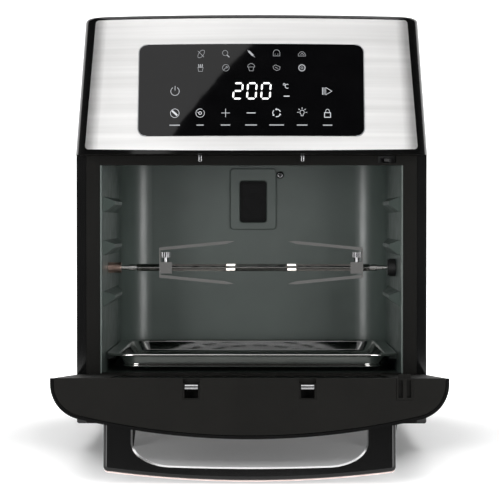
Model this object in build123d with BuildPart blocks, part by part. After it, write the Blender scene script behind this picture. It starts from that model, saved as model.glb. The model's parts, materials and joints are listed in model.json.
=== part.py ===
from build123d import *
from math import cos, radians, sin, sqrt
import os

os.makedirs("parts", exist_ok=True)

# Countertop air fryer oven with a drop-down door and a rotisserie, in millimetres.
# +X is to the right, -Y is the front, +Z is up, and z = 0 is the worktop.
# Everything is drawn at rest: the door is open and lies 4 degrees above level.

# ---- Body ----
body_half = 155.0  # half width of the casing
body_depth = 288.0  # front frame to rear cover
front_y = -43.7  # plane of the front frame, which centres the open oven on the origin
foot_height = 25.0
frame_thick = 12.0
lip_width = 8.4  # glossy strip that a side panel shows at the front
panel_wall = 2.5

# ---- Control head ----
head_low = 262.5
head_high = 385.0
head_half_top = 148.5
nose_low = 47.0  # how far the bowed front stands ahead of the front frame
nose_high = 18.0
bow_radius = 578.0
bow_corner = 28.0

# ---- Cooking cavity ----
cavity_half = 133.0
opening_low = 69.2
opening_high = 254.0
cavity_floor_z = 67.2
cavity_roof_z = 294.0
cavity_depth = 230.0
cavity_corner = 30.0
sheet = 1.2

# ---- Door ----
hinge_ahead = 5.1  # hinge axis ahead of the front frame
hinge_z = 64.5
door_length = 196.5  # hinge axis to the top end of the door
door_tilt = 4.1  # degrees above level when it rests open
door_half = 154.5
door_inner = 4.5  # inner face, measured from the hinge axis
door_depth = 47.0
skin_thick = 2.4
pin_radius = 2.0
running_gap = 0.05
lug_x = (138.0, 144.0)

# ---- Rotisserie ----
spit_z = 161.4
spit_back = 72.0
spit_side = 5.0  # side of the square spit, which rests with one edge to the front
spit_neck = 2.0
fork_left_x = -80.0  # axis of each thumbscrew
fork_right_x = 96.9

# ---- Fan and heater ----
fan_back = 115.0
shaft_radius = 3.0
ring_radius = 74.0
ring_gap = 15.0  # degrees from the rear centre line to each end of the ring element
element_tube = 3.2
lead_radius = 2.4
guard_z = 262.5

back_y = front_y + body_depth
spit_y = front_y + spit_back
fan_y = front_y + fan_back
catch_x = 45.0
tab_x = 120.0
tilt = radians(door_tilt)
lead_x = ring_radius * sin(radians(ring_gap + 3))
lead_y = fan_y + ring_radius * cos(radians(ring_gap + 3))

# The door's own plane: x across, y from the outside towards the inner face, z along its length.
door_plane = Plane(
    origin=(0, front_y - hinge_ahead, hinge_z), x_dir=(1, 0, 0), z_dir=(0, -cos(tilt), sin(tilt))
)


def keep(part, name):
    """Label a finished piece and write its file."""
    part.label = name
    export_step(part, f"parts/{name}.step")


def middle(span):
    return (span[0] + span[1]) / 2


def block(x, y, z, mode=Mode.ADD):
    """Box between the low and high limit on each axis."""
    with Locations((middle(x), middle(y), middle(z))):
        Box(x[1] - x[0], y[1] - y[0], z[1] - z[0], mode=mode)


def door_block(x, y, s, mode=Mode.ADD):
    """Box in the door's own directions; s runs along the door from the hinge axis."""
    with Locations(door_plane.location * Pos(middle(x), middle(y), middle(s))):
        Box(x[1] - x[0], y[1] - y[0], s[1] - s[0], mode=mode)


def rod_x(x, y, z, radius, mode=Mode.ADD):
    """Cylinder along X between two limits."""
    with Locations((middle(x), y, z)):
        Cylinder(radius, x[1] - x[0], rotation=(0, 90, 0), mode=mode)


def rod_y(x, y, z, radius, mode=Mode.ADD):
    """Cylinder along Y between two limits."""
    with Locations((x, middle(y), z)):
        Cylinder(radius, y[1] - y[0], rotation=(90, 0, 0), mode=mode)


def rod_z(x, y, z, radius, mode=Mode.ADD):
    """Cylinder along Z between two limits."""
    with Locations((x, y, middle(z))):
        Cylinder(radius, z[1] - z[0], mode=mode)


def bow_outline(half_width, rear_y, nose_y, corner_radius):
    """Plan outline with straight sides and rear and a bowed front with rounded corners."""
    side_y = nose_y + bow_radius - sqrt(bow_radius**2 - half_width**2)
    with BuildSketch() as outline:
        with BuildLine():
            Polyline(
                (half_width, side_y), (half_width, rear_y), (-half_width, rear_y), (-half_width, side_y)
            )
            ThreePointArc((-half_width, side_y), (0, nose_y), (half_width, side_y))
        make_face()
        fillet(outline.vertices().sort_by(Axis.Y)[:2], corner_radius)
    return outline.sketch


def head_layer(grow, rear_y, low=head_low, high=head_high):
    """Tapered solid of the control head, grown by a skin thickness on its front and sides."""
    with BuildPart() as layer:
        with BuildSketch(Plane.XY.offset(low)):
            add(bow_outline(body_half + grow, rear_y, front_y - nose_low - grow, bow_corner + grow))
        with BuildSketch(Plane.XY.offset(high)):
            add(bow_outline(head_half_top + grow, rear_y, front_y - nose_high - grow, bow_corner + grow))
        loft(ruled=True)
    return layer.part


# ---------------------------------------------------------------- casing
def make_base_pan():
    """Bottom pan with a raised rim and intake slots."""
    pan_half = body_half - lip_width - 0.5
    span_y = (front_y + frame_thick + 0.5, back_y - 4.5)
    with BuildPart() as base_pan:
        block((-pan_half, pan_half), span_y, (foot_height, foot_height + 18))
        block(
            (-pan_half + 2, pan_half - 2),
            (span_y[0] + 2, span_y[1] - 2),
            (foot_height + 2, foot_height + 20),
            Mode.SUBTRACT,
        )
        with BuildSketch(Plane.XY.offset(foot_height)):
            with Locations((0, middle(span_y))):
                with GridLocations(14, 46, 11, 3):
                    SlotOverall(30, 4, rotation=90)
        extrude(amount=3, mode=Mode.SUBTRACT)
    keep(base_pan.part, "base_pan")


def make_side_panel(name, side):
    """Glossy side panel with a front lip, a bottom flange and a rounded bottom corner."""
    outer = (body_half - lip_width, body_half)
    with BuildPart() as panel:
        block(outer, (front_y, back_y - 4), (foot_height, head_low))
        fillet(panel.edges().filter_by(Axis.Y).group_by(Axis.Z)[0].sort_by(Axis.X)[-1], 2)
        block(
            (outer[0] - 1, body_half - panel_wall),
            (front_y + 4, back_y),
            (foot_height + panel_wall, head_low + 1),
            Mode.SUBTRACT,
        )
        if side < 0:
            mirror(about=Plane.YZ, mode=Mode.REPLACE)
    keep(panel.part, name)


def make_head_cover():
    """Black hood of the control head, open below and behind."""
    wall = panel_wall
    with BuildPart() as head_cover:
        add(head_layer(0, back_y - 4))
        fillet(head_cover.faces().sort_by(Axis.Z)[-1].edges(), 4)
        add(head_layer(-wall, back_y + 10, head_low - 0.01, head_high - wall), mode=Mode.SUBTRACT)
    keep(head_cover.part, "head_cover")


def make_head_base():
    """Plate that closes the control head below, ahead of the front frame."""
    with BuildPart() as head_base:
        with BuildSketch(Plane.XY.offset(head_low)):
            add(
                bow_outline(
                    body_half - panel_wall - 1.2,
                    front_y + frame_thick,
                    front_y - nose_low + panel_wall + 1.2,
                    bow_corner - panel_wall,
                )
            )
        extrude(amount=2.5)
    keep(head_base.part, "head_base")


def make_rear_cover():
    """Rear plate with louvre slots and a hole for the mains lead."""
    with BuildPart() as rear_cover:
        with BuildSketch(Plane.XZ.offset(-back_y + 3.8)) as plate:
            with BuildLine():
                Polyline(
                    (-body_half, foot_height + 0.4),
                    (-body_half, head_low),
                    (-head_half_top, head_high - 0.6),
                    (head_half_top, head_high - 0.6),
                    (body_half, head_low),
                    (body_half, foot_height + 0.4),
                    close=True,
                )
            make_face()
            fillet(plate.vertices().group_by(Axis.Y)[-1], 5)
            fillet(plate.vertices().group_by(Axis.Y)[0], 6)
        extrude(amount=-3.8)
        with BuildSketch(Plane.XZ.offset(-back_y)):
            with Locations((0, 330)):
                with GridLocations(56, 9, 4, 7):
                    SlotOverall(44, 3.6)
            with Locations((0, 150)):
                with GridLocations(70, 9, 2, 9):
                    SlotOverall(52, 3.6)
            with Locations((105, 60)):
                Circle(7.1)
        extrude(amount=10, mode=Mode.SUBTRACT)
    keep(rear_cover.part, "rear_cover")


def make_feet():
    """Four tapered rubber feet."""
    for row, y in (("front", front_y + 32), ("rear", back_y - 34)):
        for side, x in (("left", -118), ("right", 118)):
            with BuildPart() as foot:
                with BuildSketch(Plane.XY):
                    with Locations((x, y)):
                        Circle(11)
                with BuildSketch(Plane.XY.offset(foot_height)):
                    with Locations((x, y)):
                        Circle(14)
                loft()
                chamfer(foot.edges().sort_by(Axis.Z)[0], 1)
            keep(foot.part, f"foot_{row}_{side}")


def make_front_frame():
    """Charcoal frame around the cavity, with hinge lugs and the door switch slot."""
    half = body_half - lip_width - 0.2
    with BuildPart() as front_frame:
        block((-half, half), (front_y, front_y + frame_thick), (foot_height, head_low - 0.1))
        with BuildSketch(Plane.XZ.offset(-front_y)):
            with Locations((0, (opening_low + opening_high) / 2)):
                RectangleRounded(2 * (cavity_half + sheet + 0.2), opening_high - opening_low, 1)
        extrude(amount=-frame_thick, mode=Mode.SUBTRACT)
        block((tab_x - 8, tab_x + 8), (front_y - 1, front_y + 14), (255.8, 262.2), Mode.SUBTRACT)
        for side in (-1, 1):
            lug = sorted((side * lug_x[0], side * lug_x[1]))
            rod_x(lug, front_y - hinge_ahead, hinge_z, 4.4)
            block(lug, (front_y - hinge_ahead, front_y + 1), (hinge_z - 4.4, hinge_z + 4.4))
            rod_x(lug, front_y - hinge_ahead, hinge_z, pin_radius, Mode.SUBTRACT)
    keep(front_frame.part, "front_frame")


def make_steel_fascia():
    """Bowed stainless plate on the control head, with a window for the touch glass."""
    with BuildPart() as steel_fascia:
        add(head_layer(1.0, back_y))
        add(head_layer(0.0, back_y), mode=Mode.SUBTRACT)
        with BuildSketch(Plane.XZ.offset(-front_y - 30)) as shape:
            with BuildLine():
                Line((-145, 267), (-137.5, 381.5))
                Line((-137.5, 381.5), (137.5, 381.5))
                Line((137.5, 381.5), (145, 267))
                ThreePointArc((145, 267), (0, 265.2), (-145, 267))
            make_face()
            fillet(shape.vertices(), 3)
            add(glass_shape(), mode=Mode.SUBTRACT)
        extrude(amount=105, mode=Mode.INTERSECT)
    keep(steel_fascia.part, "steel_fascia")


def glass_shape(grow=0.0):
    """Front outline of the touch glass."""
    with BuildSketch() as outline:
        with Locations((0, 318.2)):
            RectangleRounded(197 + 2 * grow, 81 + 2 * grow, 7 + grow)
    return outline.sketch


def make_touch_glass():
    """Black touch glass, bowed with the head and a little proud of the steel."""
    with BuildPart() as touch_glass:
        add(head_layer(1.7, back_y))
        add(head_layer(0.0, back_y), mode=Mode.SUBTRACT)
        with BuildSketch(Plane.XZ.offset(-front_y - 30)):
            add(glass_shape(-0.15))
        extrude(amount=105, mode=Mode.INTERSECT)
    keep(touch_glass.part, "touch_glass")


# ---------------------------------------------------------------- electronics
def make_electronics():
    """Display board with its digit module, and the power board with its transformer."""
    with BuildPart() as display_board:
        block((-92, 92), (front_y - 11, front_y - 9.4), (284, 350))
        with Locations((-86, front_y - 10, 290), (86, front_y - 10, 290), (-86, front_y - 10, 344)):
            Cylinder(1.6, 4, rotation=(90, 0, 0), mode=Mode.SUBTRACT)
    keep(display_board.part, "display_board")
    with BuildPart() as led_display:
        block((-23, 23), (front_y - 24, front_y - 11), (305, 329))
        block((-20, 20), (front_y - 25, front_y - 22), (308, 326), Mode.SUBTRACT)
    keep(led_display.part, "led_display")
    board_y = (front_y + 160, front_y + 270)
    with BuildPart() as power_board:
        block((40, 135), board_y, (306, 307.6))
        with Locations(*[(x, y, 301) for x in (45, 130) for y in (board_y[0] + 6, board_y[1] - 6)]):
            Cylinder(3, 10)
    keep(power_board.part, "power_board")
    with BuildPart() as transformer:
        block((92, 128), (board_y[0] + 20, board_y[0] + 56), (307.6, 337))
        block((88, 132), (board_y[0] + 28, board_y[0] + 48), (313, 331))
    keep(transformer.part, "transformer")


# ---------------------------------------------------------------- cavity
def cavity_plan(grow):
    """Plan outline of the cavity: square at the front, rounded at the rear corners."""
    half = cavity_half + grow
    front = front_y + frame_thick
    with BuildSketch() as plan:
        with Locations((0, (front + front_y + cavity_depth + grow) / 2)):
            Rectangle(2 * half, front_y + cavity_depth + grow - front)
        fillet(plan.vertices().group_by(Axis.Y)[-1], cavity_corner + grow)
    return plan.sketch


def side_rib(z):
    """One pair of embossed shelf ribs: a flat top, a sloped underside and tapered ends."""
    rib_y = (front_y + 18, front_y + 176)
    with BuildPart() as rib:
        with BuildSketch(Plane.XZ.offset(-rib_y[0])):
            with BuildLine():
                Polyline(
                    (cavity_half, z + 7),
                    (cavity_half - 9, z + 3),
                    (cavity_half - 9, z),
                    (cavity_half, z - 7),
                    close=True,
                )
            make_face()
        extrude(amount=rib_y[0] - rib_y[1])
        with BuildSketch(Plane.XY.offset(z - 10)):
            with BuildLine():
                Polyline(
                    (cavity_half, rib_y[0]),
                    (cavity_half - 9, rib_y[0] + 16),
                    (cavity_half - 9, rib_y[1] - 60),
                    (cavity_half, rib_y[1]),
                    close=True,
                )
            make_face()
        extrude(amount=20, mode=Mode.INTERSECT)
    return rib.part


def make_cavity():
    """Enamelled liner with shelf ribs, and its floor and roof sheets."""
    rib_levels = (134.4, 180.5, 219.4)
    with BuildPart() as cavity_liner:
        with BuildSketch(Plane.XY.offset(cavity_floor_z)):
            add(cavity_plan(sheet))
            add(cavity_plan(0), mode=Mode.SUBTRACT)
        extrude(amount=cavity_roof_z - cavity_floor_z)
        header_y = front_y + 2 * frame_thick
        block((-cavity_half, cavity_half), (header_y, header_y + sheet), (opening_high, cavity_roof_z))
        block(
            (-cavity_half, cavity_half),
            (front_y + frame_thick, header_y + sheet),
            (opening_high, opening_high + sheet),
        )
        for z in rib_levels:
            add(side_rib(z))
            add(mirror(side_rib(z), about=Plane.YZ, mode=Mode.PRIVATE))
        for side in (-1, 1):
            ledge = sorted((side * cavity_half, side * (cavity_half - 7)))
            block(ledge, (front_y + 60, front_y + 180), (78, 83.8))
            lip = sorted((side * cavity_half, side * (cavity_half + sheet)))
            block(lip, (front_y + 1, front_y + frame_thick + 1), (opening_low + 0.2, opening_high - 0.2))
        rod_x((cavity_half - 1, cavity_half + 3), spit_y, spit_z, 6, Mode.SUBTRACT)
        block(
            (-12, 12),
            (front_y + cavity_depth - 2, front_y + cavity_depth + 3),
            (206, 242),
            Mode.SUBTRACT,
        )
    keep(cavity_liner.part, "cavity_liner")
    with BuildPart() as cavity_floor:
        with BuildSketch(Plane.XY.offset(cavity_floor_z - sheet)):
            add(cavity_plan(sheet))
        extrude(amount=sheet)
    keep(cavity_floor.part, "cavity_floor")
    with BuildPart() as cavity_ceiling:
        with BuildSketch(Plane.XY.offset(cavity_roof_z)):
            add(cavity_plan(sheet))
            with Locations((0, fan_y)):
                Circle(9, mode=Mode.SUBTRACT)
            with Locations((-lead_x, lead_y), (lead_x, lead_y)):
                Circle(lead_radius, mode=Mode.SUBTRACT)
        extrude(amount=sheet)
    keep(cavity_ceiling.part, "cavity_ceiling")


def make_heating():
    """Ring element with two terminal legs, and the round guard below it."""
    ring_z = 270.0
    start = radians(ring_gap)
    with BuildPart() as heating_element:
        section = Plane(
            origin=(0, fan_y, ring_z),
            x_dir=(sin(start), cos(start), 0),
            z_dir=(cos(start), -sin(start), 0),
        )
        with BuildSketch(section):
            with Locations((ring_radius, 0)):
                Circle(element_tube)
        revolve(axis=Axis((0, fan_y, ring_z), (0, 0, 1)), revolution_arc=2 * ring_gap - 360)
        for x in (-lead_x, lead_x):
            rod_z(x, lead_y, (ring_z, cavity_roof_z + 8), lead_radius)
    keep(heating_element.part, "heating_element")
    with BuildPart() as heater_guard:
        with BuildSketch(Plane.XY.offset(guard_z)):
            with Locations((0, fan_y)):
                Circle(88)
                for radius, count in ((20, 7), (38, 12), (56, 17), (74, 23)):
                    with PolarLocations(radius, count):
                        SlotOverall(15, 6, rotation=90, mode=Mode.SUBTRACT)
        extrude(amount=1.2)
        with Locations((0, fan_y, middle((guard_z, cavity_roof_z)))):
            with PolarLocations(84, 4, start_angle=45):
                Cylinder(2, cavity_roof_z - guard_z)
    keep(heater_guard.part, "heater_guard")


def make_fan():
    """Motor on its bridge, with one shaft that carries the hot fan and the cooling fan."""
    with BuildPart() as fan_motor:
        rod_z(0, fan_y, (312, 344), 31)
        rod_z(0, fan_y, (344, 349), 12)
        rod_z(0, fan_y, (300, 352), shaft_radius + running_gap, Mode.SUBTRACT)
    keep(fan_motor.part, "fan_motor")
    with BuildPart() as motor_bracket:
        roof = cavity_roof_z + sheet
        block((-70, 70), (fan_y - 22, fan_y + 22), (roof, roof + 2))
        block((-60, 60), (fan_y - 22, fan_y + 22), (roof, 312))
        block((-58, 58), (fan_y - 23, fan_y + 23), (roof - 1, 310), Mode.SUBTRACT)
        rod_z(0, fan_y, (300, 320), 8, Mode.SUBTRACT)
    keep(motor_bracket.part, "motor_bracket")
    with BuildPart() as fan_shaft:
        rod_z(0, fan_y, (277, 364), shaft_radius)
        rod_z(0, fan_y, (277, 280), 5)
    keep(fan_shaft.part, "fan_shaft")
    for name, low, radius, blades in (("fan_blade", 280, 62, 8), ("cooling_fan", 352, 42, 7)):
        with BuildPart() as fan:
            rod_z(0, fan_y, (low, low + 1.5), radius)
            rod_z(0, fan_y, (low, low + 9), 9)
            with Locations((0, fan_y, low + 5)):
                with PolarLocations(radius * 0.58, blades):
                    Box(radius * 0.7, 1.6, 8, rotation=(0, 0, 18))
            rod_z(0, fan_y, (low - 1, low + 11), shaft_radius, Mode.SUBTRACT)
        keep(fan.part, name)


def make_lamp():
    """Oven lamp on the rear wall: cover, lens, bulb, holder and its screw."""
    wall_y = front_y + cavity_depth
    with BuildPart() as lamp_cover:
        with BuildSketch(Plane.XZ.offset(-wall_y)):
            with Locations((0, 226.6)):
                RectangleRounded(47, 62, 4)
            with Locations((0, 224)):
                RectangleRounded(27, 42, 3, mode=Mode.SUBTRACT)
        extrude(amount=3.2)
        chamfer(lamp_cover.faces().sort_by(Axis.Y)[0].edges(), 0.8)
    keep(lamp_cover.part, "lamp_cover")
    with BuildPart() as lamp_lens:
        with BuildSketch(Plane.XZ.offset(-wall_y)):
            with Locations((0, 224)):
                RectangleRounded(26.8, 41.8, 3)
        extrude(amount=1.6)
    keep(lamp_lens.part, "lamp_lens")
    with BuildPart() as lamp_bulb:
        rod_y(0, (wall_y + 12, wall_y + 34), 224, 6)
        with Locations((0, wall_y + 12, 224)):
            Sphere(9.5)
    keep(lamp_bulb.part, "lamp_bulb")
    with BuildPart() as lamp_holder:
        block((-20, 20), (wall_y + sheet, wall_y + 34), (202, 246))
        block((-18, 18), (wall_y, wall_y + 30), (204, 244), Mode.SUBTRACT)
        rod_y(0, (wall_y + 20, wall_y + 40), 224, 6, Mode.SUBTRACT)
    keep(lamp_holder.part, "lamp_holder")
    with BuildPart() as lamp_screw:
        rod_y(27.4, (wall_y - 3.2, wall_y), 251, 3.8)
        fillet(lamp_screw.edges().sort_by(Axis.Y)[0], 2)
        block((25.6, 29.2), (wall_y - 4, wall_y - 2.2), (250.6, 251.4), Mode.SUBTRACT)
        block((27.0, 27.8), (wall_y - 4, wall_y - 2.2), (249.2, 252.8), Mode.SUBTRACT)
    keep(lamp_screw.part, "lamp_screw")


# ---------------------------------------------------------------- rotisserie
def square_bar(x, side, mode=Mode.ADD):
    """Square bar along the spit axis, turned so that one edge faces the front."""
    with Locations((middle(x), spit_y, spit_z)):
        Box(x[1] - x[0], side, side, rotation=(45, 0, 0), mode=mode)


def make_rotisserie():
    """Motor, drive socket, bush and the square spit between them."""
    socket_face = 125.2
    bush_x = (-cavity_half, -121.0)
    with BuildPart() as rotisserie_motor:
        rod_x((cavity_half + sheet, 149), spit_y, spit_z, 25)
        block((cavity_half + sheet, 149), (spit_y - 12, spit_y + 12), (spit_z + 20, spit_z + 44))
        rod_x((cavity_half, 147), spit_y, spit_z, 4 + running_gap, Mode.SUBTRACT)
    keep(rotisserie_motor.part, "rotisserie_motor")
    with BuildPart() as drive_socket:
        rod_x((socket_face, 132.4), spit_y, spit_z, 7.4)
        rod_x((socket_face + 1.5, 132.4), spit_y, spit_z, 8.2)
        rod_x((132, 146), spit_y, spit_z, 4)
        square_bar((socket_face - 1, socket_face + 6), spit_side + 0.05, Mode.SUBTRACT)
    keep(drive_socket.part, "drive_socket")
    with BuildPart() as spit_bush:
        rod_x(bush_x, spit_y, spit_z, 4.9)
        fillet(spit_bush.edges().sort_by(Axis.X)[-1], 0.6)
        rod_x((bush_x[0] + 4, bush_x[1] + 1), spit_y, spit_z, spit_neck + running_gap, Mode.SUBTRACT)
        with Locations((bush_x[0] + 3.2, spit_y, spit_z)):
            with Locations(Location((0, 0, 0), (0, 90, 0))):
                with PolarLocations(5.0, 16):
                    Cylinder(0.45, 4.6, mode=Mode.SUBTRACT)
    keep(spit_bush.part, "spit_bush")
    with BuildPart() as spit_rod:
        square_bar((-106.6, 108.6), spit_side)
        fillet(spit_rod.edges().filter_by(Axis.X), 0.5)
        rod_x((-128.5, socket_face + 1), spit_y, spit_z, spit_neck)
        square_bar((socket_face + 0.6, socket_face + 5.6), spit_side)
        for swell_x in ((-113.6, -107.6), (109.4, 115.6)):
            rod_x(swell_x, spit_y, spit_z, 2.9)
    keep(spit_rod.part, "spit_rod")


def make_fork(name, screw_name, x, inward):
    """Meat fork that slides on the spit: sleeve, upright web, two splayed tines and a thumbscrew."""
    outer = x - inward * 5.7
    web_low, web_high = spit_z - 9.4, spit_z + 18.6
    tine_thick = 2.8
    tine_length = 64.0
    with BuildPart() as fork:
        block(sorted((outer, x + inward * 6)), (spit_y - 5.6, spit_y + 5.6), (spit_z - 5.4, spit_z + 5.2))
        block(sorted((outer, outer + inward * 1.2)), (spit_y - 5.6, spit_y + 5.6), (web_low, web_high))
        for base, rise in ((web_low, -1), (web_high, 1)):
            tip = base + rise * 0.11 * tine_length
            with BuildSketch(Plane.XZ.offset(-spit_y - 2.5)):
                with BuildLine():
                    Polyline(
                        (outer, base),
                        (outer, base - rise * tine_thick),
                        (x + inward * (tine_length - 8), tip - rise * (tine_thick + 1)),
                        (x + inward * tine_length, tip - rise * 1.2),
                        (x + inward * (tine_length - 8), tip - rise * 1),
                        close=True,
                    )
                make_face()
            extrude(amount=5)
        square_bar((x - 8, x + 8), spit_side + 0.25, Mode.SUBTRACT)
        rod_z(x, spit_y, (spit_z, spit_z + 7), 2.4 + running_gap, Mode.SUBTRACT)
    keep(fork.part, name)
    with BuildPart() as thumbscrew:
        rod_z(x, spit_y, (spit_z + 3.75, spit_z + 10), 2.4)
        rod_z(x, spit_y, (spit_z + 9.4, spit_z + 14.2), 4.2)
        with Locations((x, spit_y, spit_z + 11.8)):
            with PolarLocations(4.4, 14):
                Cylinder(0.5, 6, mode=Mode.SUBTRACT)
    keep(thumbscrew.part, screw_name)


def make_drip_tray():
    """Deep-drawn tray with a wide flat rim and rounded corners."""
    outer_half = cavity_half - 1.5
    tray_y = (front_y + 14.0, front_y + 218.0)
    centre_y = middle(tray_y)
    rim_z = 84.2
    floor_z = 72.6
    length = tray_y[1] - tray_y[0]
    with BuildPart() as drip_tray:
        with BuildSketch(Plane.XY.offset(rim_z)):
            with Locations((0, centre_y)):
                RectangleRounded(2 * outer_half, length, 26)
        extrude(amount=1.1)
        with BuildSketch(Plane.XY.offset(rim_z)):
            with Locations((0, centre_y)):
                RectangleRounded(2 * (outer_half - 11), length - 22, 18)
        with BuildSketch(Plane.XY.offset(floor_z)):
            with Locations((0, centre_y)):
                RectangleRounded(2 * (outer_half - 17), length - 34, 13)
        loft()
        with BuildSketch(Plane.XY.offset(rim_z + 1.1)):
            with Locations((0, centre_y)):
                RectangleRounded(2 * (outer_half - 12), length - 24, 17)
        with BuildSketch(Plane.XY.offset(floor_z + 1.1)):
            with Locations((0, centre_y)):
                RectangleRounded(2 * (outer_half - 18), length - 36, 12)
        loft(mode=Mode.SUBTRACT)
    keep(drip_tray.part, "drip_tray")


# ---------------------------------------------------------------- door
def door_outline(inset):
    """Section across the door: flat inner face, bowed outer face, rounded outer corners."""
    return bow_outline(
        door_half - inset, door_inner, door_inner - door_depth + inset, bow_corner - inset
    )


def face_plane(y):
    """Plane parallel to the door's inner face, with its normal pointing outwards."""
    origin = door_plane.location * Pos(0, y, 0)
    return Plane(origin=origin.position, x_dir=(1, 0, 0), z_dir=-door_plane.y_dir)


def hinge_clearance():
    """Holes for the pins and room for the frame's lugs at the hinge end of the door."""
    axis_y = front_y - hinge_ahead
    for side in (-1, 1):
        room = sorted((side * (lug_x[0] - 0.4), side * (lug_x[1] + 0.4)))
        bore = sorted((side * 131, side * 150.2))
        rod_x(room, axis_y, hinge_z, 7.3, Mode.SUBTRACT)
        rod_x(bore, axis_y, hinge_z, pin_radius + running_gap, Mode.SUBTRACT)


def hinge_corner(edge):
    """True for an edge of the corner that turns closest to the front frame."""
    corner = (door_plane.location * Pos(0, door_inner, -door_inner)).position
    return (edge.center() - Vector(edge.center().X, corner.Y, corner.Z)).length < 0.05


def make_door_frame():
    """Charcoal door body: inner plate, edge walls and the window rebate."""
    low = -door_inner
    with BuildPart() as door_frame:
        with BuildSketch(door_plane.offset(low)):
            add(door_outline(skin_thick + 0.5))
        extrude(amount=door_length - low)
        fillet(door_frame.edges().filter_by(hinge_corner), 4.3)
        with BuildSketch(door_plane.offset(9)):
            add(bow_outline(door_half - 10, -2.0, door_inner - door_depth - 8, bow_corner - 10))
        extrude(amount=door_length - 14, mode=Mode.SUBTRACT)
        with BuildSketch(face_plane(door_inner)):
            with Locations((0, door_length / 2)):
                RectangleRounded(224, 140, 8)
        extrude(amount=4.2, mode=Mode.SUBTRACT)
        with BuildSketch(face_plane(door_inner)):
            with Locations((0, door_length / 2)):
                RectangleRounded(212, 128, 6)
        extrude(amount=12, mode=Mode.SUBTRACT)
        for side in (-1, 1):
            x = (side * catch_x - 6.6, side * catch_x + 6.6)
            door_block(x, (-12, 0.6), (door_length - 17, door_length + 1), Mode.SUBTRACT)
            door_block(x, (0, 6), (door_length - 6.6, door_length + 1), Mode.SUBTRACT)
        door_block((tab_x - 6.4, tab_x + 6.4), (-12.3, 6), (door_length - 8, door_length + 1), Mode.SUBTRACT)
        hinge_clearance()
    keep(door_frame.part, "door_frame")


def make_door_skin():
    """Glossy bowed outer skin of the door, with its window opening."""
    with BuildPart() as door_skin:
        with BuildSketch(door_plane.offset(-door_inner)):
            add(door_outline(0))
            add(door_outline(skin_thick), mode=Mode.SUBTRACT)
        extrude(amount=door_length + door_inner)
        with BuildSketch(face_plane(0)):
            with Locations((0, door_length / 2 - 12)):
                RectangleRounded(228, 132, 14)
        extrude(amount=60, mode=Mode.SUBTRACT)
        fillet(door_skin.edges().filter_by(hinge_corner), 4.3)
        hinge_clearance()
    keep(door_skin.part, "door_skin")


def make_door_glass():
    """Curved outer window in the skin and flat inner pane in the frame."""
    with BuildPart() as door_window:
        with BuildSketch(door_plane.offset(0)):
            add(door_outline(0.6))
            add(door_outline(skin_thick), mode=Mode.SUBTRACT)
        extrude(amount=door_length)
        with BuildSketch(face_plane(0)):
            with Locations((0, door_length / 2 - 12)):
                RectangleRounded(227.6, 131.6, 13.8)
        extrude(amount=60, mode=Mode.INTERSECT)
    keep(door_window.part, "door_window")
    with BuildPart() as inner_glass:
        with BuildSketch(face_plane(door_inner - 0.4)):
            with Locations((0, door_length / 2)):
                RectangleRounded(223.4, 139.4, 7.8)
        extrude(amount=3.8)
    keep(inner_glass.part, "inner_glass")


handle_half = 113.5
handle_low = -74.6  # lowest point of the grip, in the door's own depth direction
handle_bar = 9.0
handle_s = (door_length - 23, door_length - 5)


def handle_loop(grow, top):
    """Outline of the handle: straight legs and a bowed grip with rounded corners."""
    half = handle_half + grow
    low = handle_low - grow
    with BuildSketch() as loop:
        with BuildLine():
            Polyline((-half, low + 7.4), (-half, top), (half, top), (half, low + 7.4))
            ThreePointArc((half, low + 7.4), (0, low), (-half, low + 7.4))
        make_face()
        fillet(loop.vertices().sort_by(Axis.Y)[:2], 4)
    return loop.sketch


def handle_opening():
    """Finger opening between the grip and the door, with wide elliptical corners."""
    half = 92.0
    low = handle_low + handle_bar
    corner_x, corner_y = 32.0, 19.0
    turn_x, turn_z = half - corner_x, low + 1.1
    with BuildSketch() as opening:
        with BuildLine():
            Polyline((half, turn_z + corner_y), (half, 20), (-half, 20), (-half, turn_z + corner_y))
            EllipticalCenterArc((-turn_x, turn_z + corner_y), corner_x, corner_y, 180, arc_size=90)
            ThreePointArc((-turn_x, turn_z), (0, low), (turn_x, turn_z))
            EllipticalCenterArc((turn_x, turn_z + corner_y), corner_x, corner_y, 270, arc_size=90)
        make_face()
    return opening.sketch


def make_handle():
    """Glossy bow handle that hangs from the outer skin, and its bright trim."""
    with BuildPart() as door_handle:
        with BuildSketch(door_plane.offset(handle_s[0])):
            add(handle_loop(0, -10))
            add(handle_opening(), mode=Mode.SUBTRACT)
            add(door_outline(0), mode=Mode.SUBTRACT)
        extrude(amount=handle_s[1] - handle_s[0])
        rounded = door_handle.edges().filter_by(Axis.X, reverse=True)
        fillet(rounded.filter_by(GeomType.CIRCLE).group_by(SortBy.LENGTH)[-1], 3.0)
    keep(door_handle.part, "door_handle")
    with BuildPart() as handle_trim:
        with BuildSketch(door_plane.offset(handle_s[1] - 8.3)):
            with Locations((0, -1.5)):
                add(handle_loop(-0.4, -56))
            add(handle_loop(0, -20), mode=Mode.SUBTRACT)
            with Locations((0, 0)):
                Rectangle(400, 2 * 58, mode=Mode.SUBTRACT)
        extrude(amount=5)
    keep(handle_trim.part, "handle_trim")


def make_hinge_pins():
    """Two steel pins, pressed into the frame's lugs and turning in the door."""
    for name, side in (("hinge_pin_left", -1), ("hinge_pin_right", 1)):
        span = sorted((side * 131.3, side * 149.9))
        with BuildPart() as hinge_pin:
            rod_x(span, front_y - hinge_ahead, hinge_z, pin_radius)
        keep(hinge_pin.part, name)


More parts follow.
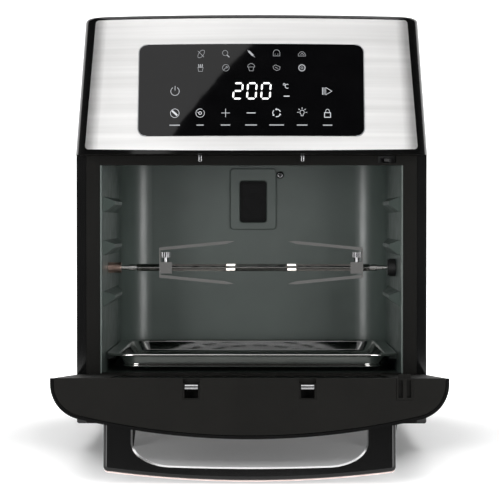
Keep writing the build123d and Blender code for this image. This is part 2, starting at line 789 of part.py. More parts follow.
def make_catches():
    """Roller catches in the door end and the wire strikers under the control head."""
    roller_y = -2.5
    for name, side in (("left", -1), ("right", 1)):
        x = side * catch_x
        with BuildPart() as case:
            door_block((x - 6.4, x + 6.4), (-11.9, 0.5), (door_length - 16.8, door_length - 0.3))
            door_block((x - 5.4, x + 5.4), (-11.0, -0.1), (door_length - 15.4, door_length + 1), Mode.SUBTRACT)
            door_block((x - 5.4, x + 5.4), (-0.2, 1), (door_length - 6.4, door_length + 1), Mode.SUBTRACT)
        keep(case.part, f"catch_case_{name}")
        with BuildPart() as roller:
            with Locations(door_plane.location * Location((x, roller_y, door_length - 1.8))):
                Cylinder(2.2, 10, rotation=(0, 90, 0))
            door_block((x - 2, x + 2), (roller_y - 1.6, roller_y + 1.6), (door_length - 9.5, door_length - 2))
        keep(roller.part, f"catch_roller_{name}")
        striker_y = front_y - hinge_ahead - 6.4
        with BuildPart() as striker:
            with BuildLine() as wire:
                FilletPolyline(
                    (x - 1.0, striker_y, head_low),
                    (x - 1.0, striker_y, 257.0),
                    (x + 1.0, striker_y, 257.0),
                    (x + 1.0, striker_y, head_low),
                    radius=0.9,
                )
            with BuildSketch(Plane(origin=wire.wire() @ 0, z_dir=wire.wire() % 0)):
                Circle(0.65)
            sweep()
        keep(striker.part, f"striker_{name}")


def make_door_switch():
    """Tab on the door end and the switch with its plunger behind the front frame."""
    with BuildPart() as switch_tab:
        door_block((tab_x - 6.2, tab_x + 6.2), (-12.1, 4.4), (door_length - 7.8, door_length + 0.6))
        door_block((tab_x - 4.8, tab_x + 4.8), (4.0, 7.6), (door_length - 4.9, door_length - 1.2))
        for side in (-1, 1):
            slot = sorted((tab_x + side * 1.4, tab_x + side * 5.0))
            door_block(slot, (-10.5, 3.0), (door_length - 2.6, door_length + 1), Mode.SUBTRACT)
    keep(switch_tab.part, "switch_tab")
    with BuildPart() as switch_body:
        block((tab_x - 10, tab_x + 10), (front_y + 12, front_y + 20), (255.8, 262.2))
        block((tab_x - 2.8, tab_x + 2.8), (front_y + 11, front_y + 17), (256.3, 260.7), Mode.SUBTRACT)
    keep(switch_body.part, "switch_body")
    with BuildPart() as switch_plunger:
        block((tab_x - 2.5, tab_x + 2.5), (front_y + 2.9, front_y + 13.5), (256.6, 260.4))
        fillet(switch_plunger.faces().sort_by(Axis.Y)[0].edges(), 0.8)
    keep(switch_plunger.part, "switch_plunger")


# ---------------------------------------------------------------- fittings
def make_fittings():
    """Gland for the mains lead and the screws of the rear cover."""
    with BuildPart() as cord_gland:
        rod_y(105, (back_y - 6, back_y), 60, 7)
        rod_y(105, (back_y, back_y + 3.5), 60, 10.5)
        rod_y(105, (back_y - 8, back_y - 3.8), 60, 8.5)
        rod_y(105, (back_y - 10, back_y + 5), 60, 3.6, Mode.SUBTRACT)
    keep(cord_gland.part, "cord_gland")
    with BuildPart() as rear_screws:
        for x, z in ((-140, 45), (140, 45), (-140, 240), (140, 240), (-130, 366), (130, 366)):
            rod_y(x, (back_y, back_y + 1.6), z, 3.4)
            block((x - 0.5, x + 0.5), (back_y + 0.7, back_y + 2), (z - 2.4, z + 2.4), Mode.SUBTRACT)
    keep(rear_screws.part, "rear_screws")


make_base_pan()
make_side_panel("side_panel_left", -1)
make_side_panel("side_panel_right", 1)
make_head_cover()
make_head_base()
make_rear_cover()
make_feet()
make_front_frame()
make_steel_fascia()
make_touch_glass()
make_electronics()
make_cavity()
make_heating()
make_fan()
make_lamp()
make_rotisserie()
make_fork("fork_left", "thumbscrew_left", fork_left_x, 1)
make_fork("fork_right", "thumbscrew_right", fork_right_x, -1)
make_drip_tray()
make_door_frame()
make_door_skin()
make_door_glass()
make_handle()
make_hinge_pins()
make_catches()
make_door_switch()
make_fittings()
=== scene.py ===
import json
from math import cos, pi, radians, sin

import bmesh
import bpy
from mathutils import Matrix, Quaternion, Vector


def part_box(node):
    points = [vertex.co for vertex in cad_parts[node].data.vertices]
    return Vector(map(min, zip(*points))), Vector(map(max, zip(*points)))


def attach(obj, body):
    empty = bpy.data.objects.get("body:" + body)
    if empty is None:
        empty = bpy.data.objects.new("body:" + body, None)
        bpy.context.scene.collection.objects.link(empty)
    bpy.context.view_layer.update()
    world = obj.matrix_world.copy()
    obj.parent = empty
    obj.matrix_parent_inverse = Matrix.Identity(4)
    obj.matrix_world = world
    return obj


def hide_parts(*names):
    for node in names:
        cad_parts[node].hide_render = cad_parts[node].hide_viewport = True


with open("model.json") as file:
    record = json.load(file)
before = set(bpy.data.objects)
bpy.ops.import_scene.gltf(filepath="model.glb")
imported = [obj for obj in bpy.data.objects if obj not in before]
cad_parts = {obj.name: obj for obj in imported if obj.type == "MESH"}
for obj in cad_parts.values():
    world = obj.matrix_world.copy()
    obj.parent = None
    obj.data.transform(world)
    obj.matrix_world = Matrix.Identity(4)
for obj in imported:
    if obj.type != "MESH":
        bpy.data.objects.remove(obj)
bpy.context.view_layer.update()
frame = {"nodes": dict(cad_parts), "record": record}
nodes = frame["nodes"]
MM = 0.001


# ---------------------------------------------------------------- places taken from the frame
def low(node):
    return Vector(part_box(node)[0])


def high(node):
    return Vector(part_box(node)[1])


def centre(node):
    return (low(node) + high(node)) / 2


FRONT_Y = low("side_panel_left").y
WORKTOP_Z = low("foot_front_left").z
GLASS = centre("touch_glass")
TRAY = centre("drip_tray")


# ---------------------------------------------------------------- materials
class Shade:
    """A node material built step by step around one Principled shader."""

    def __init__(self, name):
        self.material = bpy.data.materials.new(name)
        self.material.use_nodes = True
        self.tree = self.material.node_tree
        self.tree.nodes.clear()
        self.shader = self.tree.nodes.new("ShaderNodeBsdfPrincipled")
        output = self.tree.nodes.new("ShaderNodeOutputMaterial")
        self.link(self.shader.outputs["BSDF"], output.inputs["Surface"])
        self.coords = self.tree.nodes.new("ShaderNodeTexCoord")

    def link(self, source, target):
        self.tree.links.new(source, target)

    def set(self, **values):
        for key, value in values.items():
            self.shader.inputs[key.replace("_", " ")].default_value = value
        return self

    def noise(self, scale, stretch=(1, 1, 1), detail=3.0):
        """Noise in the row frame; stretch multiplies each axis."""
        mapping = self.tree.nodes.new("ShaderNodeMapping")
        mapping.inputs["Scale"].default_value = stretch
        self.link(self.coords.outputs["Object"], mapping.inputs["Vector"])
        noise = self.tree.nodes.new("ShaderNodeTexNoise")
        noise.inputs["Scale"].default_value = scale
        noise.inputs["Detail"].default_value = detail
        self.link(mapping.outputs["Vector"], noise.inputs["Vector"])
        return noise.outputs["Fac"]

    def voronoi(self, scale):
        cells = self.tree.nodes.new("ShaderNodeTexVoronoi")
        cells.inputs["Scale"].default_value = scale
        self.link(self.coords.outputs["Object"], cells.inputs["Vector"])
        return cells.outputs["Distance"]

    def spread(self, source, target, lowest, highest, span=(0.3, 0.7)):
        """A shader value that follows a texture between two limits."""
        ranged = self.tree.nodes.new("ShaderNodeMapRange")
        ranged.inputs["From Min"].default_value = span[0]
        ranged.inputs["From Max"].default_value = span[1]
        ranged.inputs["To Min"].default_value = lowest
        ranged.inputs["To Max"].default_value = highest
        self.link(source, ranged.inputs["Value"])
        self.link(ranged.outputs["Result"], self.shader.inputs[target])
        return self

    def tint(self, source, dark, light, span=(0.3, 0.7)):
        """Base colour that wanders between two colours."""
        ramp = self.tree.nodes.new("ShaderNodeValToRGB")
        ramp.color_ramp.elements[0].position = span[0]
        ramp.color_ramp.elements[1].position = span[1]
        ramp.color_ramp.elements[0].color = (*dark, 1)
        ramp.color_ramp.elements[1].color = (*light, 1)
        self.link(source, ramp.inputs["Fac"])
        self.link(ramp.outputs["Color"], self.shader.inputs["Base Color"])
        return self

    def bump(self, source, height_mm, strength=1.0):
        bump = self.tree.nodes.new("ShaderNodeBump")
        bump.inputs["Strength"].default_value = strength
        bump.inputs["Distance"].default_value = height_mm * MM
        self.link(source, bump.inputs["Height"])
        self.link(bump.outputs["Normal"], self.shader.inputs["Normal"])
        return self


def shades_of(colour, spread):
    """A darker and a lighter version of a colour."""
    return tuple(c * (1 - spread) for c in colour), tuple(min(1, c * (1 + spread)) for c in colour)


def gloss_black():
    shade = Shade("gloss_black").set(Specular_IOR_Level=0.3)
    cloud = shade.noise(18)
    shade.tint(cloud, *shades_of((0.003, 0.003, 0.003), 0.15))
    shade.spread(cloud, "Roughness", 0.06, 0.1)
    return shade.bump(shade.noise(900, detail=2), 0.01, 0.25).material


def charcoal_texture():
    """Spark-eroded matte plastic: a fine closed grain."""
    shade = Shade("charcoal_texture").set(Specular_IOR_Level=0.08)
    grain = shade.voronoi(1100)
    shade.tint(shade.noise(35), *shades_of((0.0042, 0.004, 0.0034), 0.12))
    shade.spread(shade.noise(500), "Roughness", 0.45, 0.6)
    return shade.bump(grain, 0.08, 0.6).material


def brushed_steel():
    """Stainless sheet brushed along X: long fine scratches and broad soft bands."""
    shade = Shade("brushed_steel").set(Metallic=1.0)
    scratches = shade.noise(1.0, (26, 26, 2600), 4)
    bands = shade.noise(1.0, (3, 3, 170), 3)
    shade.tint(bands, (0.6, 0.595, 0.59), (0.72, 0.715, 0.71))
    shade.spread(scratches, "Roughness", 0.44, 0.54)
    return shade.bump(scratches, 0.008, 0.35).material


def polished_steel():
    """Drawn stainless: nearly a mirror, with faint drawing waves and fine scuffs."""
    shade = Shade("polished_steel").set(Metallic=1.0)
    wave = shade.noise(22)
    scuffs = shade.noise(1.0, (600, 160, 600), 3)
    shade.tint(wave, (0.66, 0.65, 0.635), (0.76, 0.75, 0.73))
    shade.spread(scuffs, "Roughness", 0.04, 0.09)
    return shade.bump(wave, 0.03, 0.5).material


def chrome():
    shade = Shade("chrome").set(Metallic=1.0)
    scuffs = shade.noise(700)
    shade.tint(scuffs, (0.2, 0.2, 0.205), (0.3, 0.3, 0.305))
    shade.spread(scuffs, "Roughness", 0.06, 0.16)
    return shade.bump(scuffs, 0.005, 0.3).material


def bronze():
    shade = Shade("bronze").set(Metallic=1.0)
    turning = shade.noise(1.0, (2400, 120, 120), 3)
    shade.tint(shade.noise(160), (0.36, 0.25, 0.21), (0.5, 0.37, 0.32))
    shade.spread(turning, "Roughness", 0.28, 0.42)
    return shade.bump(turning, 0.02, 0.5).material


def enamel():
    """Grey-green satin enamel with a faint orange peel and cloudy tone."""
    shade = Shade("enamel").set(Coat_Weight=0.5, Coat_Roughness=0.24)
    shade.tint(shade.noise(14), *shades_of((0.09, 0.113, 0.103), 0.1))
    shade.spread(shade.noise(60), "Roughness", 0.34, 0.46)
    return shade.bump(shade.noise(420), 0.05, 0.35).material


def touch_panel():
    shade = Shade("touch_panel").set(IOR=1.38)
    smear = shade.noise(1.0, (40, 40, 90), 4)
    shade.tint(smear, (0.0012, 0.0012, 0.0014), (0.0018, 0.0018, 0.002))
    return shade.spread(smear, "Roughness", 0.02, 0.04).material


def window_glass():
    shade = Shade("window_glass").set(Transmission_Weight=1.0, IOR=1.5)
    smear = shade.noise(30)
    shade.tint(smear, (0.2, 0.2, 0.21), (0.26, 0.26, 0.27))
    return shade.spread(smear, "Roughness", 0.0, 0.03).material


def rubber():
    shade = Shade("rubber")
    shade.tint(shade.noise(60), *shades_of((0.018, 0.018, 0.018), 0.2))
    shade.spread(shade.noise(300), "Roughness", 0.7, 0.9)
    return shade.bump(shade.noise(1400), 0.04, 0.6).material


def black_metal():
    """Powder-coated sheet: fine orange peel."""
    shade = Shade("black_metal")
    shade.tint(shade.noise(25), *shades_of((0.014, 0.014, 0.015), 0.15))
    shade.spread(shade.noise(80), "Roughness", 0.42, 0.56)
    return shade.bump(shade.noise(1300, detail=2), 0.05, 0.5).material


def zinc():
    """Plated sheet with a faint crystal spangle."""
    shade = Shade("zinc").set(Metallic=1.0)
    spangle = shade.voronoi(160)
    shade.tint(spangle, (0.42, 0.43, 0.44), (0.56, 0.57, 0.58), (0.1, 0.8))
    return shade.spread(spangle, "Roughness", 0.34, 0.5).material


def heater_sheath():
    shade = Shade("heater_sheath").set(Metallic=0.6)
    shade.tint(shade.noise(120), (0.05, 0.045, 0.04), (0.13, 0.115, 0.1))
    return shade.spread(shade.noise(400), "Roughness", 0.5, 0.75).material


def dark_nylon():
    shade = Shade("dark_nylon")
    shade.tint(shade.noise(90), *shades_of((0.012, 0.012, 0.012), 0.2))
    shade.spread(shade.noise(260), "Roughness", 0.3, 0.45)
    return shade.bump(shade.noise(900), 0.02, 0.4).material


def rose_satin():
    """Anodised trim with a warm pink tone."""
    shade = Shade("rose_satin").set(Metallic=0.5)
    grain = shade.noise(1.0, (60, 900, 900), 3)
    shade.tint(grain, (0.62, 0.5, 0.47), (0.74, 0.61, 0.58))
    shade.spread(grain, "Roughness", 0.4, 0.55)
    return shade.bump(grain, 0.01, 0.4).material


def board():
    """Circuit board lacquer over faint copper tracks."""
    shade = Shade("board")
    tracks = shade.noise(1.0, (220, 220, 220), 1)
    shade.tint(tracks, (0.01, 0.07, 0.03), (0.03, 0.14, 0.06), (0.48, 0.52))
    return shade.spread(shade.noise(300), "Roughness", 0.25, 0.4).material


def glow(name, colour, strength):
    """Lit print behind the glass, a little uneven like a light guide."""
    shade = Shade(name).set(Emission_Color=(*colour, 1), Roughness=0.4)
    shade.tint(shade.noise(80), *shades_of([0.1 * c for c in colour], 0.05))
    return shade.spread(shade.noise(140), "Emission Strength", strength * 0.9, strength).material


SLOT_MATERIALS = {
    "black_gloss": gloss_black(),
    "charcoal": charcoal_texture(),
    "fascia_steel": brushed_steel(),
    "touch_panel": touch_panel(),
    "window_glass": window_glass(),
    "enamel": enamel(),
    "polished_steel": polished_steel(),
    "chrome": chrome(),
    "bronze": bronze(),
    "rubber": rubber(),
    "black_metal": black_metal(),
    "zinc": zinc(),
    "heater": heater_sheath(),
    "dark_nylon": dark_nylon(),
    "board": board(),
}


def dress_cad_nodes():
    """Every carried-over CAD piece takes the material of its slot."""
    for row in frame["record"]["subparts"]:
        piece = nodes[row["node"]]
        piece.data.materials.clear()
        piece.data.materials.append(SLOT_MATERIALS[row["material_slot"]])
    trim = nodes["handle_trim"].data.materials
    trim.clear()
    trim.append(rose_satin())


# ---------------------------------------------------------------- mesh helpers
def add_mesh(name, vertices, faces, material, body, slot=None, smooth=False):
    """A piece from vertices and faces, that rides on a body."""
    mesh = bpy.data.meshes.new(name)
    mesh.from_pydata([tuple(v) for v in vertices], [], faces)
    mesh.materials.append(material)
    tidy = bmesh.new()
    tidy.from_mesh(mesh)
    bmesh.ops.recalc_face_normals(tidy, faces=tidy.faces)
    tidy.to_mesh(mesh)
    tidy.free()
    if smooth:
        mesh.shade_smooth()
    piece = bpy.data.objects.new(name, mesh)
    bpy.context.collection.objects.link(piece)
    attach(piece, body)
    return piece


def glass_y(x, z):
    """Front surface of the touch glass at a point of its front view."""
    start = Vector((x, FRONT_Y - 0.2, z))
    hit, place, _, _ = nodes["touch_glass"].ray_cast(start, Vector((0, 1, 0)))
    if not hit:
        raise ValueError(f"no glass at {x:.4f}, {z:.4f}")
    return place.y


def on_glass(polygons, raised=0.1 * MM, sunk=0.05 * MM):
    """Thin closed plates on the glass, one for each polygon of (x, z) points in millimetres
    measured from the middle of the glass."""
    vertices, faces = [], []
    for polygon in polygons:
        first, count = len(vertices), len(polygon)
        flat = [(GLASS.x + x * MM, GLASS.z + z * MM) for x, z in polygon]
        depths = [glass_y(x, z) for x, z in flat]
        vertices += [(x, y - raised, z) for (x, z), y in zip(flat, depths)]
        vertices += [(x, y + sunk, z) for (x, z), y in zip(flat, depths)]
        faces.append(tuple(range(first, first + count)))
        faces.append(tuple(range(first + 2 * count - 1, first + count - 1, -1)))
        for i in range(count):
            j = (i + 1) % count
            faces.append((first + i, first + count + i, first + count + j, first + j))
    return vertices, faces


def stroke(points, width=0.38, closed=False):
    """Quads along a polyline, each a little longer than its span, so that the joints close."""
    quads = []
    after = points[1:] + points[:1] if closed else points[1:]
    for a, b in zip(points, after):
        a, b = Vector(a), Vector(b)
        along = (b - a).normalized()
        side = Vector((-along.y, along.x)) * width / 2
        grow = along * width * 0.3
        a, b = a - grow, b + grow
        quads.append([tuple(corner) for corner in (a + side, a - side, b - side, b + side)])
    return quads


def arc(x, z, radius, start=0, end=360, steps=20):
    """Points on a circle, in degrees from +X towards +Z."""
    angles = [radians(start + (end - start) * i / steps) for i in range(steps + 1)]
    return [(x + radius * cos(a), z + radius * sin(a)) for a in angles]


def ring(x, z, radius, width=0.38):
    return stroke(arc(x, z, radius)[:-1], width, closed=True)


# ---------------------------------------------------------------- touch panel
# Icons are drawn about 8 high. All panel measures are in millimetres from the middle of the glass.
COLUMN = 22.0  # spacing of the icon columns
ROWS = {"upper": 31.6, "lower": 19.2, "middle": -1.2, "keys": -20.5, "marks": -31.0}
SMALL = 0.8  # size of the food icons against the keys


def icon_leaf(x, z):
    body = arc(x, z, 4.2, 100, 260, 10)
    body = [(px * 0.55 + x * 0.45 + (pz - z) * 0.45, pz) for px, pz in body]
    other = [(2 * x - px + 1.2, 2 * z - pz) for px, pz in body]
    return stroke(body + other, closed=True) + stroke([(x - 3, z + 3.2), (x + 3.6, z - 3.4)])


def icon_drumstick(x, z):
    return ring(x - 0.8, z + 0.8, 2.9) + stroke([(x + 1.2, z - 1.4), (x + 3.6, z - 3.6)], 1.0)


def icon_skewer(x, z):
    rod = stroke([(x - 3.8, z + 3.8), (x + 3.8, z - 3.8)], 0.5)
    return rod + stroke([(x - 2.4, z + 2.4), (x + 1.6, z - 1.6)], 2.2)


def icon_bread(x, z):
    loaf = [(x - 3.6, z - 2.4), (x + 3.6, z - 2.4), (x + 3.6, z + 1)]
    loaf += arc(x, z + 0.8, 3.6, 0, 180, 8)[1:]
    cuts = [quad for k in (-1.6, 1.4) for quad in stroke([(x + k, z), (x + k, z - 1)])]
    return stroke(loaf, closed=True) + cuts


def icon_roast(x, z):
    foot = z - 2.4
    dome = [(px, foot + (pz - foot) * 1.2) for px, pz in arc(x, foot, 4.0, 0, 180, 10)]
    wing = stroke([(x - 1.4, z - 1), (x, z + 0.8), (x + 2.2, z - 1.2)])
    return stroke(dome, closed=True) + wing


def icon_fries(x, z):
    cup = [(x - 2.8, z + 0.6), (x + 2.8, z + 0.6), (x + 2.1, z - 3.8), (x - 2.1, z - 3.8)]
    sticks = []
    for k in (-1.6, 0, 1.6):
        sticks += stroke([(x + k, z + 0.6), (x + k * 1.3, z + 3.8)], 1.0)
    return stroke(cup, closed=True) + sticks


def icon_pizza(x, z):
    return ring(x, z, 3.6) + ring(x + 1, z + 0.6, 0.8, 0.5) + stroke([(x, z), (x - 2.4, z - 2.6)])


def icon_cake(x, z):
    top = arc(x, z + 0.8, 3.8, 0, 180, 10)
    cup = [(x - 2.8, z + 0.6), (x - 2, z - 3.4), (x + 2, z - 3.4), (x + 2.8, z + 0.6)]
    return stroke(top, closed=True) + stroke(cup)


def icon_steak(x, z):
    corners = ((-3.8, 1.4), (-1, 3.2), (3.8, 1), (3.4, -1.8), (0, -3.2), (-3.4, -1))
    slab = [(x + px, z + pz) for px, pz in corners]
    return stroke(slab, closed=True) + stroke([(x - 1.6, z + 0.6), (x + 1.6, z - 0.8)])


def icon_ring_cake(x, z):
    return ring(x, z, 3.4, 1.1) + ring(x, z, 1.2, 0.5)


def icon_power(x, z):
    return stroke(arc(x, z, 3.7, 122, 418, 22)) + stroke([(x, z + 4.6), (x, z + 0.8)])


def icon_start(x, z):
    bars = [quad for k in (-4.2, -2.9) for quad in stroke([(x + k, z + 3), (x + k, z - 3)], 0.5)]
    return bars + stroke([(x - 1.4, z + 3.2), (x - 1.4, z - 3.2), (x + 4, z)], closed=True)


def icon_menu(x, z):
    return ring(x, z, 3.8) + stroke([(x - 2, z + 1.8), (x + 1.8, z - 1.6)], 1.6)


def icon_set(x, z):
    hand = stroke([(x - 2.4, z + 0.8), (x - 1, z + 0.2)])
    return stroke(arc(x, z, 3.7, 60, 400, 22)) + ring(x, z, 1.2, 0.5) + hand


def icon_plus(x, z):
    return stroke([(x - 3.6, z), (x + 3.6, z)]) + stroke([(x, z - 3.6), (x, z + 3.6)])


def icon_minus(x, z):
    return stroke([(x - 3.6, z), (x + 3.6, z)], 0.7)


def icon_turning(x, z):
    """Three arcs with arrow tips that chase round a circle."""
    marks = []
    for turn in (20, 140, 260):
        marks += stroke(arc(x, z, 3.3, turn, turn + 80, 6), 0.7)
        outer, inner = (arc(x, z, radius, turn + 72, turn + 72, 1)[0] for radius in (4.4, 2.2))
        marks.append([outer, inner, arc(x, z, 3.3, turn + 92, turn + 92, 1)[0]])
    return marks


def icon_lamp(x, z):
    middle = z + 0.6
    bulb = arc(x, middle, 1.9, -60, 240, 12)
    rays = []
    for turn in range(0, 181, 45):
        rays += stroke([arc(x, middle, radius, turn, turn, 1)[0] for radius in (3.0, 4.2)], 0.45)
    return stroke(bulb + [(x - 0.9, z - 2.4), (x + 0.9, z - 2.4)], closed=True) + rays


def icon_lock(x, z):
    case = [(x - 2.6, z + 0.4), (x + 2.6, z + 0.4), (x + 2.6, z - 3.6), (x - 2.6, z - 3.6)]
    shackle = [(x - 1.6, z + 0.4)] + arc(x, z + 1.8, 1.6, 180, 0, 8) + [(x + 1.6, z + 0.4)]
    return stroke(case, 0.6, closed=True) + stroke(shackle)


def digit(x, z, lit):
    """Seven-segment digit, leaning a little; lit lists the segments a to g."""
    half, tall, width, gap, lean = 4.5, 7.5, 1.55, 0.65, 0.07
    top, right, left = tall - width / 2, half - width / 2, -half + width / 2
    bars = {
        "a": (left, top, right, top), "b": (right, top, right, 0), "c": (right, 0, right, -top),
        "d": (left, -top, right, -top), "e": (left, 0, left, -top), "f": (left, top, left, 0),
        "g": (left, 0, right, 0),
    }
    polygons = []
    for name in lit:
        a, b = Vector(bars[name][:2]), Vector(bars[name][2:])
        along = (b - a).normalized()
        side = Vector((-along.y, along.x)) * width / 2
        tip = along * width / 2
        a, b = a + along * gap, b - along * gap
        shape = (a, a + tip + side, b - tip + side, b, b - tip - side, a + tip - side)
        polygons.append([(x + px + lean * pz, z + pz) for px, pz in shape])
    return polygons


def make_panel_marks():
    """Icons, plain bars in place of words, the temperature digits, and a painted highlight: a glowing
    line round the glass that stands for the light caught on the edge of the steel.
    """
    print_bright = glow("panel_print", (0.82, 0.84, 0.88), 0.8)
    # The dim print glow is also used for the painted highlight round the glass edge.
    dim_print_and_painted_highlight = glow("panel_print_dim_and_painted_highlight", (0.8, 0.82, 0.86), 0.4)
    digit_white = glow("panel_digits", (1.0, 1.0, 1.0), 1.6)
    upper = (icon_leaf, icon_drumstick, icon_skewer, icon_bread, icon_roast)
    lower = (icon_fries, icon_pizza, icon_cake, icon_steak, icon_ring_cake)
    keys = (icon_menu, icon_set, icon_plus, icon_minus, icon_turning, icon_lamp, icon_lock)
    places = [
        ("power", icon_power, -3 * COLUMN, ROWS["middle"]),
        ("start", icon_start, 3 * COLUMN, ROWS["middle"]),
    ]
    places += [(f"key_{i}", icon, (i - 3) * COLUMN, ROWS["keys"]) for i, icon in enumerate(keys)]
    for name, icon, x, z in places:
        add_mesh(f"icon_{name}", *on_glass(icon(x, z)), print_bright, "casing", "touch_panel")
    for row, icons in (("upper", upper), ("lower", lower)):
        for i, icon in enumerate(icons):
            small = [
                [((i - 2) * COLUMN + px * SMALL, ROWS[row] + pz * SMALL) for px, pz in quad]
                for quad in icon(0, 0)
            ]
            add_mesh(f"icon_{row}_{i}", *on_glass(small), dim_print_and_painted_highlight, "casing", "touch_panel")
    bars = []
    for i, width in enumerate((8.5, 5.5, 7.5, 9.5, 12, 8.5, 7.5)):
        x = (i - 3) * COLUMN
        bars += stroke([(x - width / 2, ROWS["marks"]), (x + width / 2, ROWS["marks"])], 1.0)
    add_mesh("key_marks", *on_glass(bars), dim_print_and_painted_highlight, "casing", "touch_panel")
    # Painted highlight: a thin glowing line just inside the glass edge stands for the light caught on
    # the rim of the steel round it.
    rim = stroke(rounded_rectangle(98.0, 40.0, 6.6), 0.4, closed=True)
    add_mesh("glass_edge_painted_highlight", *on_glass(rim), dim_print_and_painted_highlight, "casing", "touch_panel")
    unit = ring(28.6, 4.6, 0.8, 0.4) + stroke(arc(31.2, 2.9, 1.8, 60, 300, 8), 0.5)
    unit += stroke([(28.4, -5.8), (33, -5.8)], 0.8)
    add_mesh("unit_marks", *on_glass(unit), print_bright, "casing", "touch_panel")
    digits = digit(-11.4, -1.2, "abged") + digit(0.6, -1.2, "abcdef") + digit(12.8, -1.2, "abcdef")
    add_mesh("display_digits", *on_glass(digits), digit_white, "casing", "touch_panel")


def rounded_rectangle(half_x, half_z, radius, steps=8):
    """Points round a rounded rectangle, counter-clockwise in (x, z)."""
    points = []
    for sx, sz, start in ((1, 1, 0), (-1, 1, 90), (-1, -1, 180), (1, -1, 270)):
        corner = (sx * (half_x - radius), sz * (half_z - radius))
        points += arc(*corner, radius, start, start + 90, steps)
    return points


# ---------------------------------------------------------------- drip tray
def make_tray():
    """Deep-drawn tray: rolled rim, wide flat land, sloped walls and soft bends."""
    low_corner, high_corner = low("drip_tray") / MM, high("drip_tray") / MM
    span, top, base = high_corner - low_corner, high_corner.z, low_corner.z
    bead, floor_inset, corner_radius, steps = 1.0, 60.0, 26.0, 8
    # Inner side, from the rim inwards: each point is an inset from the outline and a height.
    rim = [(bead * (1 - cos(a)), top - bead + bead * sin(a)) for a in (pi * i / 8 for i in range(-4, 5))]
    land = [(2.6, top - 0.8), (9.0, top - 0.8), (9.8, top - 0.4), (10.4, top - 0.4), (11.0, top - 0.9)]
    wall = [(11.6, top - 2.3), (15.4, base + 3.4), (16.4, base + 1.7), (18.6, base + 0.8)]
    floor = [(26, base + 0.7), (floor_inset, base + 0.7)]
    # Outer side, back from the floor to the rim, with a low bead round the foot of the wall.
    under = [(floor_inset, base), (26, base), (16.4, base), (14.6, base + 0.2), (14.0, base + 0.9)]
    under += [(14.2, base + 1.7), (14.9, base + 2.3), (15.0, base + 3.2)]
    under += [(11.2, top - 2.8), (10.4, top - 1.8), (2.6, top - 1.5)]
    section = rim + land + wall + floor
    rings = section + under
    vertices, faces = [], []
    for inset, z in rings:
        radius = max(4, corner_radius - inset * 0.75)
        outline = rounded_rectangle(span.x / 2 - inset, span.y / 2 - inset, radius, steps)
        vertices += [(TRAY.x + px * MM, TRAY.y + py * MM, z * MM) for px, py in outline]
    count = len(vertices) // len(rings)
    for k in range(len(rings)):
        if k == len(section) - 1:
            continue
        after = (k + 1) % len(rings)
        for i in range(count):
            j = (i + 1) % count
            faces.append((k * count + i, k * count + j, after * count + j, after * count + i))
    for k in (len(section) - 1, len(section)):
        faces.append(tuple(range(k * count, (k + 1) * count)))
    steel = SLOT_MATERIALS["polished_steel"]
    tray = add_mesh("tray_drawn", vertices, faces, steel, "tray", "polished_steel", smooth=True)
    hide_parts("drip_tray")


# ---------------------------------------------------------------- camera, light and stage
def add_camera():
    """Nearly level long lens in front of the oven, a touch right of its middle."""
    distance, eye_height, eye_x = 1.566, 0.2054, 0.012
    yaw, pitch = radians(0.4861), radians(0.9721)
    data = bpy.data.cameras.new("camera")
    data.sensor_width = 36
    data.lens = 127.296
    data.clip_start = 0.05
    data.clip_end = 30
    camera = bpy.data.objects.new("camera", data)
    bpy.context.collection.objects.link(camera)
    camera.location = (eye_x, FRONT_Y - distance, WORKTOP_Z + eye_height)
    aim = Vector((-sin(yaw), cos(yaw), -sin(pitch)))
    camera.rotation_euler = aim.to_track_quat("-Z", "Y").to_euler()
    bpy.context.scene.camera = camera


def add_area(name, place, target, width, height, power, roll=0.0):
    """Rectangular light at a place, turned to its target; roll is in degrees."""
    data = bpy.data.lights.new(name, "AREA")
    data.shape = "RECTANGLE"
    data.size, data.size_y = width, height
    data.energy = power
    light = bpy.data.objects.new(name, data)
    bpy.context.collection.objects.link(light)
    light.location = place
    aim = (Vector(target) - Vector(place)).to_track_quat("-Z", "Y")
    light.rotation_euler = (aim @ Quaternion((0, 0, 1), radians(roll))).to_euler()


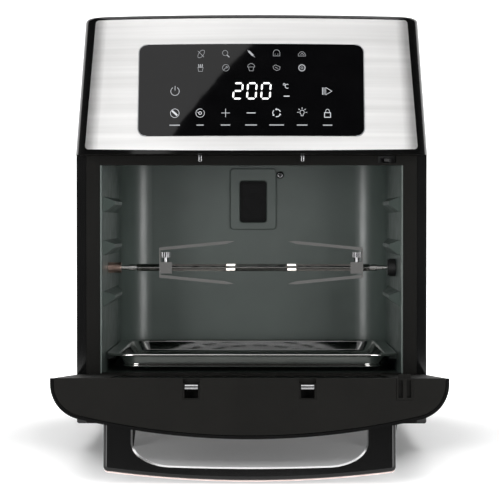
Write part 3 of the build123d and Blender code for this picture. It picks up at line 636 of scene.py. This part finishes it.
def add_stage():
    """White worktop that curves up into a backdrop."""
    half_width, front, back, bend, top = 5.0, -1.0, 3.4, 0.8, 5.0
    profile = [(front, 0.0)] + arc(back, bend, bend, -90, 0, 12) + [(back + bend, top)]
    vertices = [(x, y, WORKTOP_Z + z) for y, z in profile for x in (-half_width, half_width)]
    faces = [(2 * i, 2 * i + 1, 2 * i + 3, 2 * i + 2) for i in range(len(profile) - 1)]
    mesh = bpy.data.meshes.new("worktop")
    mesh.from_pydata(vertices, [], faces)
    mesh.shade_smooth()
    # The worktop's glow is painted weaker near the oven, a painted shadow round its foot; the real cast
    # shadow of the oven also shows in it.
    shade = Shade("worktop_white_with_painted_shadow").set(Emission_Color=(1, 1, 1, 1))
    painted_shadow_distance = shade.tree.nodes.new("ShaderNodeVectorMath")
    painted_shadow_distance.operation = "DISTANCE"
    painted_shadow_distance.inputs[1].default_value = (0, FRONT_Y + 0.14, WORKTOP_Z)
    shade.link(shade.coords.outputs["Object"], painted_shadow_distance.inputs[0])
    shade.spread(painted_shadow_distance.outputs["Value"], "Emission Strength", 0.1, 0.95, (0.2, 0.42))
    shade.tint(shade.noise(3), (0.86, 0.86, 0.86), (0.9, 0.9, 0.9))
    shade.spread(shade.noise(20), "Roughness", 0.5, 0.6)
    mesh.materials.append(shade.material)
    worktop = bpy.data.objects.new("worktop", mesh)
    bpy.context.collection.objects.link(worktop)


def add_world():
    """Dim room that darkens upwards, so that only the lights show in the glossy faces."""
    world = bpy.data.worlds.new("studio")
    bpy.context.scene.world = world
    world.use_nodes = True
    tree = world.node_tree
    background = tree.nodes["Background"]
    coords = tree.nodes.new("ShaderNodeTexCoord")
    split = tree.nodes.new("ShaderNodeSeparateXYZ")
    ramp = tree.nodes.new("ShaderNodeValToRGB")
    ramp.color_ramp.elements[0].position = 0.0
    ramp.color_ramp.elements[1].position = 0.3
    ramp.color_ramp.elements[0].color = (0.2, 0.2, 0.2, 1)
    ramp.color_ramp.elements[1].color = (0.02, 0.02, 0.02, 1)
    tree.links.new(coords.outputs["Generated"], split.inputs["Vector"])
    tree.links.new(split.outputs["Z"], ramp.inputs["Fac"])
    tree.links.new(ramp.outputs["Color"], background.inputs["Color"])
    background.inputs["Strength"].default_value = 1.0


def from_glass(azimuth, elevation, distance):
    """Place seen from the touch glass, in degrees; azimuth is positive to the right."""
    a, e = radians(azimuth), radians(elevation)
    return GLASS + distance * Vector((sin(a) * cos(e), -cos(a) * cos(e), sin(e)))


def add_lights():
    """Softbox with its lower edge across the touch glass, a strip on each side, a light from
    above, and a faint one under the cavity roof."""
    add_area("softbox", from_glass(-3, 51.6, 1.8), GLASS, 2.1, 1.17, 11.5, roll=17)
    for name, azimuth in (("strip_left", -30), ("strip_right", 30)):
        add_area(name, from_glass(azimuth, 0, 1.6), (0, 0.1, 0.2), 0.7, 0.8, 12)
    add_area("top", (0, -0.05, 1.9), (0, -0.05, 0.2), 2.0, 1.5, 27)
    roof_y = FRONT_Y + 0.1
    add_area("under_roof", (0, roof_y, 0.259), (0, roof_y, 0.1), 0.22, 0.015, 0.004)


bpy.context.scene.view_settings.view_transform = "Standard"
add_camera()
add_world()
add_stage()
add_lights()
dress_cad_nodes()
make_panel_marks()
make_tray()
